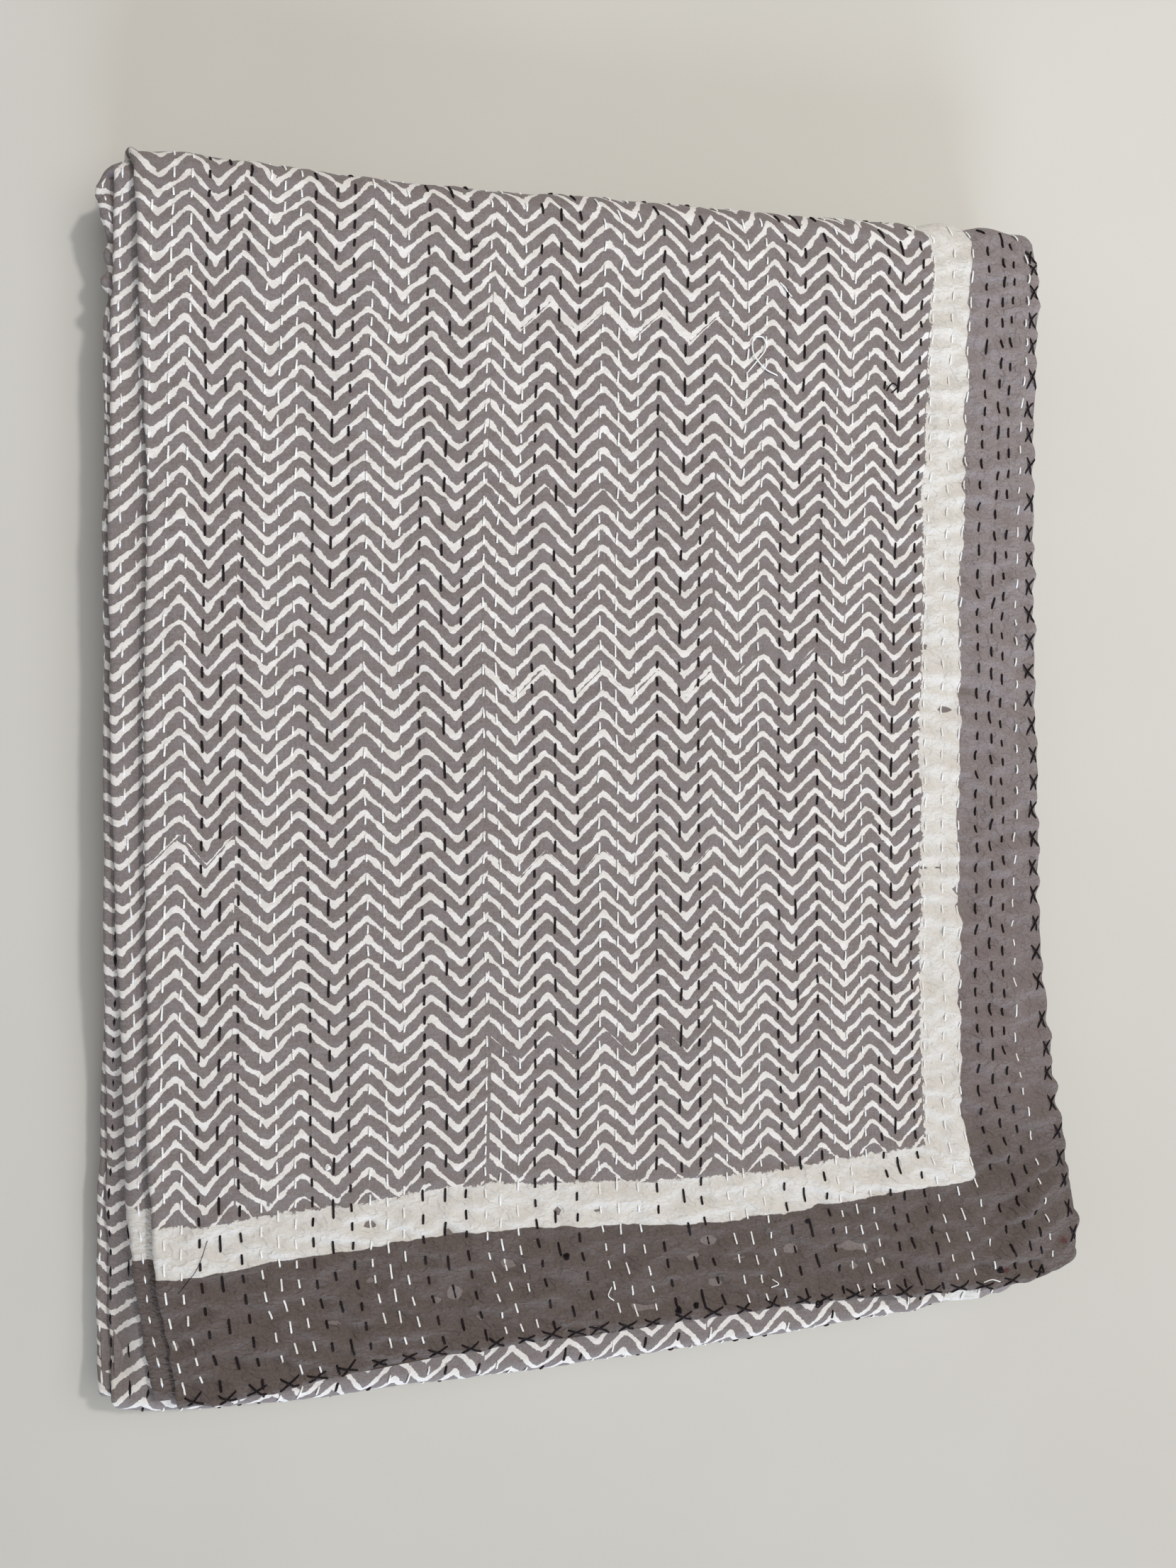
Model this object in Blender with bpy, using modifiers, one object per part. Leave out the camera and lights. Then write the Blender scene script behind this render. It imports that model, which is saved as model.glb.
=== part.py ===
"""A kantha quilt, folded in four and four again and laid flat.

One stitched cotton sheet is folded back and forth across its width into a ribbon of four
plies, and the ribbon is folded back and forth along its length into four runs. A flat grid
stands for the sheet: s runs across the cloth from hem to hem, through plies and nose folds,
and t runs along it, through runs and turns. Every grid point is placed by fold_point().

Metres, +Z up. +X is the hem side, +Y is the end where the top run turns under.
The origin is the middle of the box, on the surface that the quilt lies on.
"""

import bmesh
import bpy
import numpy as np

MM = 0.001
THICK = 2.0 * MM  # the quilted sheet: two printed cottons and what is between them
PITCH = 2.8 * MM  # from one ply to the next, so the plies lie 0.8 mm apart
HALF = THICK / 2
PLIES = 4
RUNS = 4
TURN_RADIUS = PLIES / 2 * PITCH  # of the ribbon's middle, where it turns into the next run
TURN_REACH = TURN_RADIUS + (PLIES - 1) / 2 * PITCH + HALF  # turn centre to outermost face

# Where along the packet the side edges are given, and across it the end edges, in mm.
SIDE_STATIONS = dict(bottom=-300, low=-230, lower=-110, middle=10, upper=150, top=300)
END_STATIONS = dict(
    far_left=-272, left=-240, mid_left=-120, middle=0, mid_right=120, right=240, far_right=285
)

# The outline of each side edge in plan, x in mm. "nose a" joins plies 1 and 2, "nose r"
# plies 2 and 3, "nose b" plies 3 and 4; "hem 1" and "hem 4" are the sheet's two side hems.
SIDE_EDGES = {
    # run, edge:      bottom, low, lower, middle, upper, top
    (1, "hem 1"): (286, 267.5, 250, 246, 244, 247),
    (1, "nose a"): (-237, -246.5, -248.5, -247.5, -244.5, -248),
    (1, "nose r"): (240, 241, 240, 237, 234, 237),
    (1, "nose b"): (-248.5, -258.5, -261.5, -264, -262.5, -258),
    (1, "hem 4"): (243, 245, 243, 240, 238, 240),
    (2, "hem 1"): (238, 240, 241, 240, 238, 238),
    (2, "nose a"): (-277.5, -276, -271, -266, -262, -257),
    (2, "nose r"): (243, 244, 245, 243, 240, 241),
    (2, "nose b"): (-270, -270.5, -269.5, -268.5, -266, -264.5),
    (2, "hem 4"): (240, 242, 243, 242, 240, 240),
    (3, "hem 1"): (240, 242, 243, 241, 240, 239),
    (3, "nose a"): (-276, -274, -269, -265, -262, -261),
    (3, "nose r"): (242, 243, 241, 239, 240, 242),
    (3, "nose b"): (-268, -267, -265, -262, -260, -264),
    (3, "hem 4"): (237, 239, 241, 242, 239, 239),
    (4, "hem 1"): (239, 241, 242, 243, 241, 237),
    (4, "nose a"): (-264, -263, -260, -258, -259, -260),
    (4, "nose r"): (237, 239, 240, 239, 238, 239),
    (4, "nose b"): (-268, -266, -263, -261, -262, -263),
    (4, "hem 4"): (241, 242, 243, 242, 241, 240),
}

# The outline of each end edge in plan, y in mm: the two end hems and the three turns.
END_EDGES = {
    # edge: far_left, left, mid_left, middle, mid_right, right, far_right
    "start hem": (-309, -306.5, -296.5, -294, -291.5, -295, -289),
    "turn 1-2": (317, 320.5, 316, 319, 320, 321.5, 318),
    "turn 2-3": (-313, -317, -320, -319.5, -317, -307, -302),
    "turn 3-4": (310, 313, 311, 313, 314, 315, 314),
    "end hem": (-300, -303, -307, -308, -304, -292, -290),
}
INNER_PLIES_SHORT = 3 * MM  # plies 2 to 4 end this far inside the top ply's start hem
BOX_MIDDLE = (2.3 * MM, 0.6 * MM)  # of the outline that these tables give

# The stack stands a little higher along its puffed left noses than at its hems.
SWELL_LEFT = 0.06
SWELL_WAVE = 0.012
SWELL_FROM_X = -20 * MM
SWELL_TO_X = -260 * MM

# The top ply is stitched in rows along Y; the cloth stands up a little between them.
RIDGES = 45
RIDGE_HEIGHT = 1.0 * MM
RIDGE_FADE = 0.06  # share of the top run over which the ridges fade at either end

# The top ply's side hem reaches past what lies under it, and hangs.
HEM_REST_PAST_NOSE = 1.5 * MM
HEM_HANG_RADIUS = 80 * MM
CORNER_RADIUS = 18 * MM

# How many faces each stretch of the sheet gets.
PLY_STEPS = 6
NOSE_STEPS = dict(a=5, r=4, b=5)
RUN_STEPS = (8, 6, 6, 6)
TURN_STEPS = 6
HEM_LINES = (0.1, 0.3)  # extra lines across the first step of the top run, at its hem
RIDGE_STEPS = 2 * RIDGES // PLY_STEPS  # finer faces in each step of the top ply

CLOTH_COLOUR = (0.26, 0.23, 0.22, 1.0)
CLOTH_ROUGHNESS = 0.92


def smooth_table(at, stations, values):
    """Values between a table's columns, on a smooth curve through them, in metres."""
    at = np.asarray(at) / MM
    x = np.array(list(stations.values()), float)
    v = np.array(values, float)
    slope = np.gradient(v, x)
    at = np.clip(at, x[0] - 30, x[-1] + 30)
    k = np.clip(np.searchsorted(x, at) - 1, 0, len(x) - 2)
    width = x[k + 1] - x[k]
    f = np.clip((at - x[k]) / width, 0, 1)
    past = at - np.clip(at, x[0], x[-1])
    end_slope = np.where(past < 0, slope[0], slope[-1])
    curve = (
        v[k] * (1 + 2 * f) * (1 - f) ** 2
        + v[k + 1] * f**2 * (3 - 2 * f)
        + width * slope[k] * f * (1 - f) ** 2
        - width * slope[k + 1] * f**2 * (1 - f)
    )
    return (curve + past * end_slope) * MM


def ease(f):
    """0 to 1, level at both ends."""
    f = np.clip(f, 0, 1)
    return f * f * (3 - 2 * f)


def side_edge(edge, t, y):
    """x of a side edge at t along the sheet; in a turn it crosses from run to run."""
    stretch = np.clip(np.floor(t), 0, 2 * RUNS - 2)
    first = (stretch // 2).astype(int) + 1
    in_turn = stretch % 2 == 1
    x = np.zeros_like(y)
    for run in range(1, RUNS + 1):
        here = smooth_table(y, SIDE_STATIONS, SIDE_EDGES[run, edge])
        after = smooth_table(y, SIDE_STATIONS, SIDE_EDGES[min(run + 1, RUNS), edge])
        share = np.where(in_turn, t - stretch, 0)
        x = np.where(first == run, here * (1 - share) + after * share, x)
    return x


def end_edge(edge, x):
    return smooth_table(x, END_STATIONS, END_EDGES[edge])


def run_limits(run, x):
    """Where a run of the ribbon starts and ends in y, with its turns' centres."""
    starts = ("start hem", "turn 1-2", "turn 2-3", "turn 3-4")
    ends = ("turn 1-2", "turn 2-3", "turn 3-4", "end hem")
    limits = []
    for edge in (starts[run - 1], ends[run - 1]):
        y = end_edge(edge, x)
        inward = {"turn 1-2": -1, "turn 2-3": 1, "turn 3-4": -1}.get(edge, 0)
        limits.append(y + inward * TURN_REACH)
    return limits


def section(s, t, y):
    """x and the height within the ribbon, for s across the sheet, at t along it."""
    hem_1, hem_4 = (side_edge(edge, t, y) for edge in ("hem 1", "hem 4"))
    nose_radius = PITCH / 2
    centre_a, centre_b = (
        side_edge(edge, t, y) + nose_radius + HALF for edge in ("nose a", "nose b")
    )
    centre_r = side_edge("nose r", t, y) - nose_radius - HALF
    stretch = np.clip(np.floor(s), 0, 6).astype(int)
    f = s - stretch
    bow, roll = np.sin(np.pi * f) * nose_radius, np.cos(np.pi * f) * nose_radius
    stretches = (
        # x, height above the ribbon's middle
        (hem_1 + (centre_a - hem_1) * f, 1.5 * PITCH + 0 * f),
        (centre_a - bow, PITCH + roll),
        (centre_a + (centre_r - centre_a) * f, 0.5 * PITCH + 0 * f),
        (centre_r + bow, roll),
        (centre_r + (centre_b - centre_r) * f, -0.5 * PITCH + 0 * f),
        (centre_b - bow, -PITCH + roll),
        (centre_b + (hem_4 - centre_b) * f, -1.5 * PITCH + 0 * f),
    )
    x = np.choose(stretch, [a for a, _ in stretches])
    height = np.choose(stretch, [b for _, b in stretches])
    return x, height


def fold_point(s, t):
    """The place of a point of the sheet's middle layer in the folded packet."""
    stretch = np.clip(np.floor(t), 0, 2 * RUNS - 2).astype(int)
    f = t - stretch
    in_turn, run = stretch % 2 == 1, stretch // 2 + 1
    upward = run % 2 == 1  # towards +Y; a turn belongs to the run before it
    y_span = SIDE_STATIONS["top"] * MM
    y_first = np.where(
        in_turn, np.where(upward, y_span, -y_span), (2 * f - 1) * y_span * np.where(upward, 1, -1)
    )
    x, height = section(s, t, y_first)

    y, z = np.zeros_like(x), np.zeros_like(x)
    inner_short = np.where(s > 1, ease(s - 1), 0) * INNER_PLIES_SHORT
    for k in range(1, RUNS + 1):
        side = 1 if k % 2 else -1
        start, end = run_limits(k, x)
        if k == 1:
            start = start + inner_short
        level = HALF + PITCH * (PLIES * (RUNS - k) + (PLIES - 1) / 2)
        turn = np.pi * f
        radius = TURN_RADIUS + side * height
        here = run == k
        y = np.where(here & ~in_turn, start + (end - start) * f, y)
        z = np.where(here & ~in_turn, level + side * height, z)
        y = np.where(here & in_turn, end + side * radius * np.sin(turn), y)
        z = np.where(here & in_turn, level - TURN_RADIUS + radius * np.cos(turn), z)

    swell = SWELL_LEFT * ease((SWELL_FROM_X - x) / (SWELL_FROM_X - SWELL_TO_X))
    swell = swell + SWELL_WAVE * np.sin(x * 17 + 1) * np.cos(y * 13 - 0.5)
    z = HALF + (z - HALF) * (1 + swell)

    top_ply = (s <= 1) & (t <= 1)
    fade = ease(t / RIDGE_FADE) * ease((1 - t) / RIDGE_FADE)
    ridge = RIDGE_HEIGHT * np.sin(np.pi * RIDGES * s) ** 2
    unevenness = 0.75 + 0.25 * np.sin(s * 23 + 2) * np.cos(t * 11)
    past = np.maximum(0, x - side_edge("nose r", t, y_first) - HEM_REST_PAST_NOSE)
    hang = past**2 / (2 * HEM_HANG_RADIUS) * ease((1 - t) / RIDGE_FADE)
    z = np.where(top_ply, z + ridge * unevenness * fade - hang, z)
    x, y = rounded_corner(x, y, s, t, y_first)
    return np.stack([x - BOX_MIDDLE[0], y - BOX_MIDDLE[1], z], -1)


def rounded_corner(x, y, s, t, y_first):
    """Rounds the top ply's free corner, where its side hem meets its start hem."""
    from_side = side_edge("hem 1", t, y_first) - x
    from_end = y - end_edge("start hem", x)
    a = np.clip((CORNER_RADIUS - from_side) / CORNER_RADIUS, 0, 1)
    b = np.clip((CORNER_RADIUS - from_end) / CORNER_RADIUS, 0, 1)
    shrink = np.maximum(a, b) / np.maximum(np.hypot(a, b), 1e-9)
    in_corner = (s < 0.5) & (t < 0.5) & (a > 0) & (b > 0)
    drawn_in = np.where(in_corner, (1 - shrink) * CORNER_RADIUS, 0)
    return x - a * drawn_in, y + b * drawn_in


def cuts(stretches):
    """The grid lines through stretches of the sheet, each with its number of steps."""
    lines = [0.0]
    for start, steps in enumerate(stretches):
        lines += [start + (k + 1) / steps for k in range(steps)]
    return lines


def flat_sheet():
    """The sheet's grid laid out in s and t, finer in the top ply for its quilting."""
    s_lines = cuts(
        [PLY_STEPS, NOSE_STEPS["a"], PLY_STEPS, NOSE_STEPS["r"], PLY_STEPS, NOSE_STEPS["b"]]
        + [PLY_STEPS]
    )
    t_stretches = []
    for steps in RUN_STEPS:
        t_stretches += [steps, TURN_STEPS]
    t_lines = cuts(t_stretches[:-1])
    t_lines[1:1] = [line * t_lines[1] for line in HEM_LINES]

    bm = bmesh.new()
    columns, rows = len(s_lines) - 1, len(t_lines) - 1
    bmesh.ops.create_grid(bm, x_segments=columns, y_segments=rows, size=1)
    for vert in bm.verts:
        column = round((vert.co.x + 1) / 2 * columns)
        row = round((vert.co.y + 1) / 2 * rows)
        vert.co = (s_lines[column], t_lines[row], 0)

    across_top_ply = [
        edge
        for edge in bm.edges
        if max(v.co.x for v in edge.verts) < 1.001
        and max(v.co.y for v in edge.verts) < 1.001
        and abs(edge.verts[0].co.x - edge.verts[1].co.x) > 0.001
    ]
    bmesh.ops.subdivide_edges(
        bm, edges=across_top_ply, cuts=RIDGE_STEPS - 1, use_grid_fill=True
    )
    return bm


def build_quilt(collection):
    bm = flat_sheet()
    places = np.array([vert.co for vert in bm.verts])
    for vert, place in zip(bm.verts, fold_point(places[:, 0], places[:, 1])):
        vert.co = place
    mesh = bpy.data.meshes.new("quilt")
    bm.to_mesh(mesh)
    bm.free()
    mesh.shade_smooth()

    quilt = bpy.data.objects.new("quilt", mesh)
    collection.objects.link(quilt)
    shell = quilt.modifiers.new("cloth thickness", "SOLIDIFY")
    shell.thickness = THICK
    shell.offset = 0
    shell.use_even_offset = True
    shell.use_rim = True
    quilt.data.materials.append(cloth_material())
    return quilt


def cloth_material():
    material = bpy.data.materials.new("printed cotton")
    material.use_nodes = True
    surface = material.node_tree.nodes["Principled BSDF"]
    surface.inputs["Base Color"].default_value = CLOTH_COLOUR
    surface.inputs["Roughness"].default_value = CLOTH_ROUGHNESS
    surface.inputs["Metallic"].default_value = 0
    return material


def main():
    for thing in list(bpy.data.objects):
        bpy.data.objects.remove(thing, do_unlink=True)
    collection = bpy.data.collections.new("kantha quilt")
    bpy.context.scene.collection.children.link(collection)
    build_quilt(collection)


main()
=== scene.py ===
"""The dressed kantha quilt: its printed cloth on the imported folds, its stitches, and a plain floor.

Lengths in the tables are mm. The print's own frame, u and v, is the flat cloth: u runs towards
the side hem at +X and v away from the start hem, and on the top ply they are nearly x and y.
"""

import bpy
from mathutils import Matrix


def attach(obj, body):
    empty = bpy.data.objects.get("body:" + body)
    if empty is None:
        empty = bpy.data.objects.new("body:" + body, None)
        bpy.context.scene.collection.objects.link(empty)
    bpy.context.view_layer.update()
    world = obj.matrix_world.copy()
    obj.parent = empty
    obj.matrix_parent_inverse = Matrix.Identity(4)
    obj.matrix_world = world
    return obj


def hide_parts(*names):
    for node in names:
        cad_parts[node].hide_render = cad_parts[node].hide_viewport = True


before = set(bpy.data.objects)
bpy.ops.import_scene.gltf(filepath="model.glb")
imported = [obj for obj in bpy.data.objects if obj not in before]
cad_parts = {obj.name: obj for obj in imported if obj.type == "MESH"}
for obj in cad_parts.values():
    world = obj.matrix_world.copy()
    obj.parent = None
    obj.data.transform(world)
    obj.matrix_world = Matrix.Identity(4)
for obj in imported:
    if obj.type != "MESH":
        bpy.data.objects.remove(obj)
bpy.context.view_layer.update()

import math

import bmesh
import bpy
import numpy as np
from mathutils import Matrix, Vector

MM = 0.001

# ---------------- the folds, as in the CAD

THICK = 2.0
PITCH = 2.8
HALF = THICK / 2
PLIES = 4
RUNS = 4
TURN_RADIUS = PLIES / 2 * PITCH
TURN_REACH = TURN_RADIUS + (PLIES - 1) / 2 * PITCH + HALF
SIDE_STATIONS = dict(bottom=-300, low=-230, lower=-110, middle=10, upper=150, top=300)
END_STATIONS = dict(
    far_left=-272, left=-240, mid_left=-120, middle=0, mid_right=120, right=240, far_right=285
)
SIDE_EDGES = {
    # run, edge:      bottom, low, lower, middle, upper, top
    (1, "hem 1"): (286, 267.5, 250, 246, 244, 247),
    (1, "nose a"): (-237, -246.5, -248.5, -247.5, -244.5, -248),
    (1, "nose r"): (240, 241, 240, 237, 234, 237),
    (1, "nose b"): (-248.5, -258.5, -261.5, -264, -262.5, -258),
    (1, "hem 4"): (243, 245, 243, 240, 238, 240),
    (2, "hem 1"): (238, 240, 241, 240, 238, 238),
    (2, "nose a"): (-277.5, -276, -271, -266, -262, -257),
    (2, "nose r"): (243, 244, 245, 243, 240, 241),
    (2, "nose b"): (-270, -270.5, -269.5, -268.5, -266, -264.5),
    (2, "hem 4"): (240, 242, 243, 242, 240, 240),
    (3, "hem 1"): (240, 242, 243, 241, 240, 239),
    (3, "nose a"): (-276, -274, -269, -265, -262, -261),
    (3, "nose r"): (242, 243, 241, 239, 240, 242),
    (3, "nose b"): (-268, -267, -265, -262, -260, -264),
    (3, "hem 4"): (237, 239, 241, 242, 239, 239),
    (4, "hem 1"): (239, 241, 242, 243, 241, 237),
    (4, "nose a"): (-264, -263, -260, -258, -259, -260),
    (4, "nose r"): (237, 239, 240, 239, 238, 239),
    (4, "nose b"): (-268, -266, -263, -261, -262, -263),
    (4, "hem 4"): (241, 242, 243, 242, 241, 240),
}
END_EDGES = {
    # edge: far_left, left, mid_left, middle, mid_right, right, far_right
    "start hem": (-309, -306.5, -296.5, -294, -291.5, -295, -289),
    "turn 1-2": (317, 320.5, 316, 319, 320, 321.5, 318),
    "turn 2-3": (-313, -317, -320, -319.5, -317, -307, -302),
    "turn 3-4": (310, 313, 311, 313, 314, 315, 314),
    "end hem": (-300, -303, -307, -308, -304, -292, -290),
}
INNER_PLIES_SHORT = 3
BOX_MIDDLE = np.array([2.3, 0.6])
SWELL_LEFT, SWELL_WAVE = 0.06, 0.012
SWELL_FROM_X, SWELL_TO_X = -20, -260
HEM_REST_PAST_NOSE, HEM_HANG_RADIUS = 1.5, 80
CORNER_RADIUS = 18
HEM_ROUND = 0.8
PLY_WIDTH, RUN_LENGTH = 490, 610  # about, from fold to fold
PRINTED, PLAIN = 0, 1  # the cloth's material slots

# ---------------- the print and the thread

BLOCK_SEAM, BLOCK_WIDTH, BLOCK_ROWS = 46, 125, 9
ZIG_PERIOD, ZIG_RISE, ROW_PITCH, LINE_HALF = 31.25, 15.4, 10.7, 1.7
SIDE_BORDER, FAR_SIDE_BORDER, END_BORDER, BAND_WIDTH = 49, 22, 63.5, 24.5
BAND_SWAY, BAND_SWAY_PERIOD, BAND_SWAY_PEAK = 3.8, 285, -95
# Past here the zigzags lie closer to each other over a short way.
PRINT_DRAWN_FROM, PRINT_DRAWN_TO, PRINT_DRAWN = -195, -238, 6.5
THREAD_RADIUS = dict(dark=0.63, white=0.54)
THREAD_FLATNESS, TWIST_PITCH = 0.75, 1.3
CROSS_RADIUS = KNOT_RADIUS = 0.55
MISSED_STITCHES, STITCH_UNEVEN = 0.012, 0.32
RESTING_THREAD = -0.25  # no thread lies lower than this under the packet
STITCH_LEAN = 0.5
LIGHT_LEVEL = 0.95
# Along a stitch, -1 to 1, and its middle's height over the face.
FINE_RINGS = [(-1, -0.5), (-0.78, 0.4), (0, 0.68), (0.78, 0.4), (1, -0.5)]
COARSE_RINGS = [(-1, -0.35), (0, 0.3), (1, -0.35)]
STROKE_RINGS = [(-1, -0.6), (-0.78, 0.15), (-0.3, 0.45), (0.3, 0.45), (0.78, 0.15), (1, -0.6)]
BOTTOM_CROSSES = [
    -228, -212, -198, -182, -168, -153, -137, -122, -107, -90, -76, -60, -46, -32, -20, -5,
    10, 28, 45, 63, 80, 98, 112, 130, 144, 160, 178, 195, 212, 230, 250,
]
RIGHT_CROSSES = [
    # y, height
    (306, 8), (298, 8), (284, 9), (268, 10), (253, 10), (234, 12), (217, 10), (202, 9),
    (184, 10), (163, 11), (145, 10), (130, 9), (114, 10), (98, 11), (82, 10), (65, 9),
    (49, 10), (33, 11), (16, 10), (0, 10), (-16, 11), (-33, 10), (-50, 10), (-66, 11),
    (-83, 10), (-100, 10), (-117, 10), (-140, 11), (-157, 10), (-172, 9), (-190, 10),
    (-207, 10), (-224, 11), (-238, 9), (-256, 10), (-272, 10),
]
# Each cross draws its hem in, and the cloth swells between two.
RIGHT_PULLS = (sorted(y for y, _ in RIGHT_CROSSES), range(len(RIGHT_CROSSES)))
BOTTOM_PULLS = (BOTTOM_CROSSES, range(len(BOTTOM_CROSSES)))
HEM_SCALLOP = 0.9
STAINS = [(242, -275, 3.5), (201, -286, 3.0)]  # u, v and reach
LOOSE = [
    # thread, radius, points of x, y and height
    ("white", 0.4, [(85, 226, 0.2), (78, 229, 1.2), (71, 237, 1.6), (71, 245, 1.4),
                    (77, 246, 1.5), (78, 240, 1.8), (73, 233, 1.2), (68, 227, 0.5)]),
    ("white", 0.4, [(87, 277, 0.2), (90, 274, 1.0), (94, 270, 0.3)]),
    ("dark", 0.45, [(151, 222, 0.4), (154, 226, 1.1), (157, 224, 1.0), (154, 221, 0.5)]),
    ("dark", 0.4, [(-84, 278, 0.4), (-83, 281, 1.0), (-80, 282, 0.4)]),
    ("white", 0.35, [(211, -292, 0.3), (217, -290, 1.0), (222, -292, 0.4)]),
    ("dark", 0.16, [(-221, -223, 0.4), (-226, -236, 0.9), (-235, -248, 0.5)]),
    ("white", 0.35, [(-13, -270, 0.3), (-15, -274, 0.8), (-12, -277, 0.6)]),
    ("white", 0.35, [(80, -276, 0.3), (83, -279, 0.9), (79, -281, 0.5)]),
]
KNOTS = [
    # thread, x, y, reach
    ("dark", 101, -245, 1.4), ("dark", -38, -250, 1.5), ("dark", 25, -287, 1.6),
    ("dark", 35, -285, 1.4), ("white", -162, -191, 1.3), ("dark", 107, -292, 2.4),
    ("dark", 222, -285, 1.6),
]


def smooth_table(at, stations, values):
    """A smooth curve through the values, which goes on straight past the ends."""
    x, v = np.array(list(stations.values()), float), np.array(values, float)
    slope = np.gradient(v, x)
    at = np.clip(at, x[0] - 30, x[-1] + 30)
    k = np.clip(np.searchsorted(x, at) - 1, 0, len(x) - 2)
    width = x[k + 1] - x[k]
    f = np.clip((at - x[k]) / width, 0, 1)
    past = at - np.clip(at, x[0], x[-1])
    curve = (
        v[k] * (1 + 2 * f) * (1 - f) ** 2
        + v[k + 1] * f**2 * (3 - 2 * f)
        + width * slope[k] * f * (1 - f) ** 2
        - width * slope[k + 1] * f**2 * (1 - f)
    )
    return curve + past * np.where(past < 0, slope[0], slope[-1])


def ease(f):
    f = np.clip(f, 0, 1)
    return f * f * (3 - 2 * f)


def past(x, width):
    """x where it is positive, with a soft start."""
    return (x + np.sqrt(x * x + width * width)) / 2


def bilinear(grid, i, j, f, g):
    """The grid's value a share f past i and g past j; the grid wraps round."""
    rows, columns = grid.shape
    i0, i1, j0, j1 = i % rows, (i + 1) % rows, j % columns, (j + 1) % columns
    low = grid[i0, j0] * (1 - f) + grid[i1, j0] * f
    high = grid[i0, j1] * (1 - f) + grid[i1, j1] * f
    return low * (1 - g) + high * g


LATTICE = np.random.RandomState(11).rand(8, 128, 128)


def noise(x, y, layer=0):
    """Smooth unevenness, -1 to 1, over squares one unit wide."""
    i, j = np.floor(x).astype(int), np.floor(y).astype(int)
    return 2 * bilinear(LATTICE[layer % 8], i, j, ease(x - i), ease(y - j)) - 1


def side_edge(edge, t, y):
    """x of a hem or side fold, from run to run."""
    stretch = np.clip(np.floor(t), 0, 2 * RUNS - 2)
    first = (stretch // 2).astype(int) + 1
    share = np.where(stretch % 2 == 1, t - stretch, 0)
    x = np.zeros_like(y)
    for run in range(1, RUNS + 1):
        here = smooth_table(y, SIDE_STATIONS, SIDE_EDGES[run, edge])
        after = smooth_table(y, SIDE_STATIONS, SIDE_EDGES[min(run + 1, RUNS), edge])
        x = np.where(first == run, here * (1 - share) + after * share, x)
    return x


def end_edge(edge, x):
    return smooth_table(x, END_STATIONS, END_EDGES[edge])


def run_limits(run, x):
    """Where a run's flat part starts and ends in y."""
    limits = []
    for edge in list(END_EDGES)[run - 1 : run + 1]:
        inward = {"turn 1-2": -1, "turn 2-3": 1, "turn 3-4": -1}.get(edge, 0)
        limits.append(end_edge(edge, x) + inward * TURN_REACH)
    return limits


def section(s, t, y):
    """x and height of the four plies in a cut across them."""
    hem_1, hem_4 = (side_edge(edge, t, y) for edge in ("hem 1", "hem 4"))
    radius = PITCH / 2
    centre_a, centre_b = (side_edge(edge, t, y) + radius + HALF for edge in ("nose a", "nose b"))
    centre_r = side_edge("nose r", t, y) - radius - HALF
    stretch = np.clip(np.floor(s), 0, 6).astype(int)
    f = s - stretch
    bow, roll = np.sin(np.pi * f) * radius, np.cos(np.pi * f) * radius
    stretches = (
        (hem_1 + (centre_a - hem_1) * f, 1.5 * PITCH + 0 * f),
        (centre_a - bow, PITCH + roll),
        (centre_a + (centre_r - centre_a) * f, 0.5 * PITCH + 0 * f),
        (centre_r + bow, roll),
        (centre_r + (centre_b - centre_r) * f, -0.5 * PITCH + 0 * f),
        (centre_b - bow, -PITCH + roll),
        (centre_b + (hem_4 - centre_b) * f, -1.5 * PITCH + 0 * f),
    )
    return [np.choose(stretch, part) for part in zip(*stretches)]


def fold_point(s, t):
    """The sheet's middle layer in the print's frame, in mm, without quilting."""
    stretch = np.clip(np.floor(t), 0, 2 * RUNS - 2).astype(int)
    f = t - stretch
    in_turn, run = stretch % 2 == 1, stretch // 2 + 1
    upward = np.where(run % 2 == 1, 1, -1)
    y_span = SIDE_STATIONS["top"]
    y_first = np.where(in_turn, upward * y_span, (2 * f - 1) * y_span * upward)
    x, height = section(s, t, y_first)
    y, z = np.zeros_like(x), np.zeros_like(x)
    inner_short = np.where(s > 1, ease(s - 1), 0) * INNER_PLIES_SHORT
    for k in range(1, RUNS + 1):
        side = 1 if k % 2 else -1
        start, end = run_limits(k, x)
        if k == 1:
            start = start + inner_short
        level = HALF + PITCH * (PLIES * (RUNS - k) + (PLIES - 1) / 2)
        turn, radius, here = np.pi * f, TURN_RADIUS + side * height, run == k
        y = np.where(here & ~in_turn, start + (end - start) * f, y)
        z = np.where(here & ~in_turn, level + side * height, z)
        y = np.where(here & in_turn, end + side * radius * np.sin(turn), y)
        z = np.where(here & in_turn, level - TURN_RADIUS + radius * np.cos(turn), z)
    swell = SWELL_LEFT * ease((SWELL_FROM_X - x) / (SWELL_FROM_X - SWELL_TO_X))
    swell = swell + SWELL_WAVE * np.sin(x * 0.017 + 1) * np.cos(y * 0.013 - 0.5)
    z = HALF + (z - HALF) * (1 + swell)
    top_ply = (s <= 1) & (t <= 1)
    reach = np.maximum(0, x - side_edge("nose r", t, y_first) - HEM_REST_PAST_NOSE)
    hang = reach**2 / (2 * HEM_HANG_RADIUS) * ease((1 - t) / 0.06)
    z = np.where(top_ply, z - hang, z)

    from_side = side_edge("hem 1", t, y_first) - x
    from_end = y - end_edge("start hem", x)
    a = np.clip((CORNER_RADIUS - from_side) / CORNER_RADIUS, 0, 1)
    b = np.clip((CORNER_RADIUS - from_end) / CORNER_RADIUS, 0, 1)
    shrink = np.maximum(a, b) / np.maximum(np.hypot(a, b), 1e-9)
    in_corner = (s < 0.5) & (t < 0.5) & (a > 0) & (b > 0)
    drawn_in = np.where(in_corner, (1 - shrink) * CORNER_RADIUS, 0)
    return np.stack([x - a * drawn_in, y + b * drawn_in, z], -1)


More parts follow.
